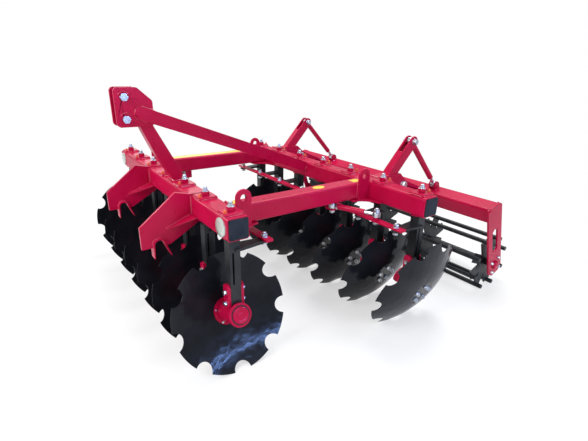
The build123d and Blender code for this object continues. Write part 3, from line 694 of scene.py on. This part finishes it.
def roller_bolts():
    # Bearing bolts and caps on the outer faces of the roller's end plates.
    low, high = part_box("roller_plates")
    axle = Vector(JOINTS["roller_spin"]["pos_m"])
    ring = 0.052
    bm = bmesh.new()
    for end, x in ((-1, low.x), (1, high.x)):
        for turn in (65, 155, 245, 335):
            angle = math.radians(turn)
            spot = Vector((x, axle.y + ring * math.cos(angle), axle.z + ring * math.sin(angle)))
            bolt(bm, place_on(spot, (end, 0, 0)), BEARING_BOLT)
    piece("roller_bolts", bm, ZINC, "roller_arm")
    dome = [(0.024, 0), (0.029, 0), (0.029, 0.009), (0.025, 0.0135), (0, 0.0145)]
    caps = bmesh.new()
    for end, x in ((-1, low.x), (1, high.x)):
        lathe(caps, place_on((x, axle.y, axle.z), (end, 0, 0)), dome, steps=32)
    piece("bearing_caps", caps, RED, "roller_arm", SHARP_TURNED)


def reflectors():
    # Round white reflectors near both ends of the front tube's front face.
    face = FRONT_Y - TUBE / 2
    radius = 0.041
    inset = 0.056
    lens = [
        (0, 0), (radius, 0), (radius, 0.0050), (radius - 0.0015, 0.0062), (radius * 0.5, 0.0075),
        (0, 0.0080),
    ]
    bm = bmesh.new()
    for x in (FRONT_LOW.x + inset, FRONT_HIGH.x - inset):
        lathe(bm, place_on((x, face, TUBE_Z), (0, -1, 0)), lens, steps=48)
    piece("reflectors", bm, LENS, "frame", SHARP_TURNED)


def sticker(name, x, y, across, along, oval=False):
    # A thin blank label on a beam's top.
    bm = bmesh.new()
    place = Matrix.Translation((x, y, TUBE_TOP)) @ Matrix.Diagonal((across, along, 1, 1))
    steps = 40 if oval else 4
    radius = 0.5 if oval else 0.5 * math.sqrt(2)
    if not oval:
        place = place @ Matrix.Rotation(math.pi / 4, 4, "Z")
    lathe(bm, place, [(0, 0), (radius, 0), (radius * 0.995, 0.0005), (0, 0.0006)], steps)
    piece(name, bm, YELLOW, "frame")


def stickers():
    # A long label on the far beam and three small ones on the near beam.
    sticker("label_strip", x=-BEAM_X, y=FRONT_Y + 0.42, across=0.050, along=0.49)
    sticker("label_oval", x=BEAM_X, y=FRONT_Y + 0.547, across=0.044, along=0.070, oval=True)
    sticker("label_small", x=BEAM_X, y=FRONT_Y + 0.800, across=0.046, along=0.055)
    sticker("label_front", x=BEAM_X - 0.012, y=FRONT_Y + 0.078, across=0.040, along=0.045)


def beam_welds(bm, draw, side):
    # Where a side beam meets both cross tubes.
    low, high = side * (BEAM_X - BEAM / 2), side * (BEAM_X + BEAM / 2)
    top = TUBE_TOP - 0.001
    loop = [(low, BEAM_FLOOR), (low, top), (high, top), (high, BEAM_FLOOR)]
    for y in (FRONT_Y + TUBE / 2, REAR_Y - TUBE / 2):
        bead(bm, [Vector((x, y, z)) for x, z in loop], LARGE_BEAD, draw)


def lug_welds(bm, draw, side):
    # Along the upright edges of the lifting lugs on a side beam.
    out = side * (BEAM_X + BEAM / 2)
    for y in (FRONT_Y + TUBE / 2 + LUG_WIDTH, REAR_Y - TUBE / 2 - LUG_WIDTH):
        upright_bead(bm, out, y, BEAM_FLOOR + 0.004, TUBE_TOP - 0.006, SMALL_BEAD, draw)


def hook_face_welds(bm, draw, side):
    # Where a lower hitch hook meets the front tube's front face.
    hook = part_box("hitch_hook_left")
    hook_x = side * (hook[0].x + hook[1].x) / 2
    face = FRONT_Y - TUBE / 2
    for edge in (-1, 1):
        x = hook_x + edge * HOOK_PLATE / 2
        upright_bead(bm, x, face, TUBE_Z - 0.044, TUBE_TOP - 0.002, LARGE_BEAD, draw)


def pad_welds(bm, draw, row, number):
    # Four beads along the sides of a pad, short of its corners.
    x, y, z = pivot(row, number).x, ROW_Y[row], TUBE_TOP + 0.001
    half = PAD / 2
    inset = 0.94
    short = 0.06
    loop = [(-half, -half), (half, -half), (half, half), (-half, half), (-half, -half)]
    points = [Vector((x + u * inset, y + v * inset, z)) for u, v in loop]
    for a, b in zip(points, points[1:]):
        start, end = a.lerp(b, short), a.lerp(b, 1 - short)
        out = (start + end) / 2 - Vector((x, y, z))
        shift = out.normalized() * half * (1 - inset)
        bead(bm, [start + shift, end + shift], SMALL_BEAD, draw)


def post_welds(bm, draw):
    # Round the foot of the headstock's post.
    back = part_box("headstock_post")[1].y
    front = back - POST_FOOT
    for x in (-POST_HALF, POST_HALF):
        bead(bm, [Vector((x, front, TUBE_TOP)), Vector((x, back, TUBE_TOP))], LARGE_BEAD, draw)
    for y in (front, back):
        bead(bm, [Vector((-POST_HALF, y, TUBE_TOP)), Vector((POST_HALF, y, TUBE_TOP))], LARGE_BEAD, draw)


def brace_welds(bm, draw):
    # Round the brace's head on both cheeks, and at its foot on the rear tube.
    head = Vector((0, FRONT_Y - BRACE_HEAD_Y, TUBE_Z + BRACE_HEAD_Z))
    tail = Vector((0, REAR_Y - TUBE / 2, TUBE_Z + BRACE_TAIL_Z))
    along = (tail - head).normalized()
    above = Vector((1, 0, 0)).cross(along)
    half = 0.031
    outline = [
        (0.082, half), (0.020, half), (0.006, 0.025), (0, 0.011), (0, -0.011), (0.006, -0.025),
        (0.020, -half), (0.070, -half),
    ]
    for x in (-CHEEK_OUT, CHEEK_OUT):
        shift = Vector((x, 0, 0))
        bead(bm, [head + along * u + above * v + shift for u, v in outline], CHEEK_BEAD, draw)
    sides = [Vector((x, 0, 0)) for x in (-BRACE_HALF, BRACE_HALF)]
    for shift in sides:
        bead(bm, [tail + above * v + shift for v in (0.030, -0.030)], SMALL_BEAD, draw)
    bead(bm, [tail + above * half + shift for shift in sides], SMALL_BEAD, draw)


def mast_welds(bm, draw, side):
    # Up both sides of a roller mast on the rear tube, and along the tube's top edge.
    mast_low, mast_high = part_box(f"roller_mast_{side}")
    face = REAR_Y + TUBE / 2
    for x in (mast_low.x, mast_high.x):
        upright_bead(bm, x, face, TUBE_Z - 0.046, TUBE_TOP - 0.004, LARGE_BEAD, draw)
    bead(bm, [Vector((x, face, TUBE_TOP)) for x in (mast_low.x, mast_high.x)], LARGE_BEAD, draw)


def hook_welds(bm, draw, side):
    # Along a lower hitch hook's rib, round its liner and along its strap on the tube's top.
    hook_low, hook_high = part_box(f"hitch_hook_{side}")
    hook_x = (hook_low.x + hook_high.x) / 2
    rib = [(-0.058, -0.0365), (-0.178, -0.0827)]
    liner_y, liner_z = FRONT_Y - 0.215, TUBE_Z - 0.150
    strap = (-0.046, 0.036)
    for edge in (-1, 1):
        x = hook_x + edge * HOOK_PLATE / 2
        bead(bm, [Vector((x, FRONT_Y + u, TUBE_Z + v)) for u, v in rib], SMALL_BEAD, draw)
        bead(bm, arc(x, liner_y, liner_z, radius=0.029, first=0, sweep=180, steps=12), FINE_BEAD, draw)
        bead(bm, [Vector((x, FRONT_Y + u, TUBE_TOP)) for u in strap], SMALL_BEAD, draw)


def pin_welds(bm, draw):
    # Over the top link pins on both cheeks.
    low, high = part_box("top_link_pins")
    y = (low.y + high.y) / 2
    pin_radius = 0.019
    for z in (low.z + pin_radius, high.z - pin_radius):
        for x in (-CHEEK_OUT, CHEEK_OUT):
            bead(bm, arc(x, y, z, radius=0.027, first=35, sweep=110, steps=8), PIN_BEAD, draw)


def frame_welds():
    # Painted weld beads where the frame's pieces meet.
    draw = random.Random(4)
    bm = bmesh.new()
    for side in (-1, 1):
        beam_welds(bm, draw, side)
        lug_welds(bm, draw, side)
        hook_face_welds(bm, draw, side)
    for row, number in legs():
        pad_welds(bm, draw, row, number)
    post_welds(bm, draw)
    brace_welds(bm, draw)
    for side in ("left", "right"):
        mast_welds(bm, draw, side)
        hook_welds(bm, draw, side)
    pin_welds(bm, draw)
    piece("frame_welds", bm, WELD, "frame", SHARP_BEAD)


def roller_welds():
    # Beads where the roller's beam meets its end plates, its arms and its ears.
    draw = random.Random(7)
    bm = bmesh.new()
    lean = math.radians(ROLLER_LEAN)
    middle = Vector((0, FRONT_Y + ROLLER_BEAM_Y, TUBE_Z + ROLLER_BEAM_Z))
    across = Vector((0, math.cos(lean), math.sin(lean)))
    above = Vector((0, -math.sin(lean), math.cos(lean)))
    sunk = 0.001
    half = ROLLER_BEAM / 2 - sunk
    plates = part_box("roller_plates")
    loop = [(-half, -half), (-half, half), (half, half), (half, -half), (-half, -half)]
    for x in (plates[0].x + ROLLER_PLATE, plates[1].x - ROLLER_PLATE):
        bead(bm, [middle + across * u + above * v + Vector((x, 0, 0)) for u, v in loop], ROLLER_BEAD, draw)
    for side in ("left", "right"):
        pin_x = JOINTS[f"height_sleeve_swing_{side}"]["pos_m"][0]
        for edge in (-ARM_WIDTH / 2, ARM_WIDTH / 2):
            shift = Vector((pin_x + edge, 0, 0))
            arm = [middle - across * half + above * v + shift for v in (-0.020, 0.044)]
            bead(bm, arm, ROLLER_BEAD, draw)
        for edge in (-FORK_HALF, FORK_HALF):
            shift = Vector((pin_x + edge, 0, 0))
            ear = [middle + above * (half + sunk) + across * u + shift for u in (-0.008, 0.038)]
            bead(bm, ear, FINE_BEAD, draw)
    piece("roller_welds", bm, WELD, "roller_arm", SHARP_BEAD)


def seen_rays(tree):
    # One for rays from the camera or through glass, and a share for mirrored ones, to keep dark gloss dark.
    path = tree.nodes.new("ShaderNodeLightPath")
    mirrored = tree.nodes.new("ShaderNodeMath")
    mirrored.operation = "MULTIPLY"
    mirrored.inputs[1].default_value = MIRRORED_WHITE
    tree.links.new(path.outputs["Is Glossy Ray"], mirrored.inputs[0])
    total = mirrored.outputs[0]
    for name in ("Is Camera Ray", "Is Transmission Ray"):
        larger = tree.nodes.new("ShaderNodeMath")
        larger.operation = "MAXIMUM"
        tree.links.new(total, larger.inputs[0])
        tree.links.new(path.outputs[name], larger.inputs[1])
        total = larger.outputs[0]
    return total


def mix(tree, factor, first, second):
    # Blends two shaders.
    node = tree.nodes.new("ShaderNodeMixShader")
    tree.links.new(factor, node.inputs["Fac"])
    tree.links.new(first.outputs[0], node.inputs[1])
    tree.links.new(second.outputs[0], node.inputs[2])
    return node


def pale_floor():
    # White where it is seen, with the shadow kept, fading to plain white far out.
    made, tree, shader, coordinate = shade("pale_floor", specular=0.1)
    cloud = noise(tree, coordinate, scale=1.2)
    colours = [(NOISE_LOW, (0.90, 0.90, 0.91)), (NOISE_HIGH, (0.94, 0.94, 0.94))]
    tree.links.new(ramp(tree, cloud, colours), shader.inputs["Base Color"])
    shader.inputs["Roughness"].default_value = 0.8
    far = tree.nodes.new("ShaderNodeVectorMath")
    far.operation = "LENGTH"
    tree.links.new(coordinate, far.inputs[0])
    fade = tree.nodes.new("ShaderNodeMapRange")
    fade.interpolation_type = "SMOOTHSTEP"
    fade.inputs["From Min"].default_value = 0.9
    fade.inputs["From Max"].default_value = 2.3
    fade.inputs["To Min"].default_value = 0.55
    fade.inputs["To Max"].default_value = 1.0
    tree.links.new(far.outputs["Value"], fade.inputs["Value"])
    white = tree.nodes.new("ShaderNodeEmission")
    seen = mix(tree, fade.outputs["Result"], shader, white)
    both = mix(tree, seen_rays(tree), shader, seen)
    tree.links.new(both.outputs[0], tree.nodes["Material Output"].inputs["Surface"])
    return made


def lay_floor():
    # A wide floor under the discs and the roller.
    mesh = bpy.data.meshes.new("floor")
    reach = 14.0
    corners = [(-reach, -reach, 0), (reach, -reach, 0), (reach, reach, 0), (-reach, reach, 0)]
    mesh.from_pydata(corners, [], [(0, 1, 2, 3)])
    floor = bpy.data.objects.new("floor", mesh)
    bpy.context.scene.collection.objects.link(floor)
    mesh.materials.append(pale_floor())


def background(tree, colour, strength):
    # One plain colour all round.
    node = tree.nodes.new("ShaderNodeBackground")
    node.inputs["Color"].default_value = (*colour, 1.0)
    node.inputs["Strength"].default_value = strength
    return node


def surround():
    # Plain white where it is seen, and a dim bluish light from all sides otherwise.
    world = bpy.data.worlds.new("surround")
    world.use_nodes = True
    tree = world.node_tree
    tree.nodes.clear()
    lit = background(tree, (0.86, 0.93, 1.0), strength=0.42)
    white = background(tree, (1.0, 1.0, 1.0), strength=1.0)
    output = tree.nodes.new("ShaderNodeOutputWorld")
    blend = mix(tree, seen_rays(tree), lit, white)
    tree.links.new(blend.outputs[0], output.inputs["Surface"])
    bpy.context.scene.world = world


def lamp(name, spot, aim, size, watts, colour):
    # A soft lamp that the camera doesn't see.
    data = bpy.data.lights.new(name, "AREA")
    data.size = size
    data.energy = watts
    data.color = colour
    obj = bpy.data.objects.new(name, data)
    obj.location = spot
    obj.rotation_euler = (Vector(aim) - Vector(spot)).to_track_quat("-Z", "Y").to_euler()
    obj.visible_camera = False
    bpy.context.scene.collection.objects.link(obj)
    return obj


def lights():
    # Soft lamps all round, and a narrow strip that shows in gloss alone, for the sheen on the near disc.
    lamp("key", (0.6, -3.6, 3.0), aim=(0, -0.2, 0.6), size=2.0, watts=120, colour=(1.0, 0.97, 0.94))
    side = lamp("side", (4.2, 0.2, 2.2), aim=(0, 0.1, 0.6), size=2.2, watts=95, colour=(0.78, 0.86, 1.0))
    side.visible_glossy = False
    lamp("top", (-0.6, 1.4, 4.2), aim=(0, 0, 0.7), size=2.4, watts=150, colour=(1.0, 1.0, 1.0))
    lamp("back", (-4.2, 0.4, 2.4), aim=(0, 0, 0.7), size=2.6, watts=34, colour=(0.94, 0.97, 1.0))
    lamp("edge", (-3.1, -2.4, 2.5), aim=(0, -0.6, 0.8), size=0.7, watts=30, colour=(1.0, 0.98, 0.97))
    blue = (0.24, 0.42, 1.0)
    strip = lamp("strip", (3.6, 0.45, 1.90), aim=(0.6, 0.2, 0.3), size=4.6, watts=155, colour=blue)
    strip.visible_diffuse = False
    strip.data.shape = "RECTANGLE"
    strip.data.size_y = 0.05


def camera():
    # The photograph's own view.
    heading, dip, roll = (math.radians(x) for x in (HEADING, DIP, ROLL))
    ahead = Vector((-math.sin(heading) * math.cos(dip), math.cos(heading) * math.cos(dip), -math.sin(dip)))
    level = Vector((math.cos(heading), math.sin(heading), 0))
    above = level.cross(ahead)
    right = math.cos(roll) * level + math.sin(roll) * above
    up = -math.sin(roll) * level + math.cos(roll) * above
    data = bpy.data.cameras.new("photo_camera")
    data.sensor_width = SENSOR
    data.lens = FOCAL / IMAGE_WIDTH * SENSOR
    data.clip_end = 100
    obj = bpy.data.objects.new("photo_camera", data)
    turn = Matrix((right, up, -ahead)).transposed().to_4x4()
    obj.matrix_world = Matrix.Translation(CAMERA_AT) @ turn
    bpy.context.scene.collection.objects.link(obj)
    bpy.context.scene.camera = obj


dress_frame()
dress_legs()
dress_links()
disc_bolts()
leg_details()
frame_bolts()
nipple_caps()
tie_bar_bolts()
lock_nuts()
roller_bolts()
reflectors()
stickers()
frame_welds()
roller_welds()
lay_floor()
surround()
lights()
camera()
bpy.context.scene.view_settings.view_transform = "Standard"
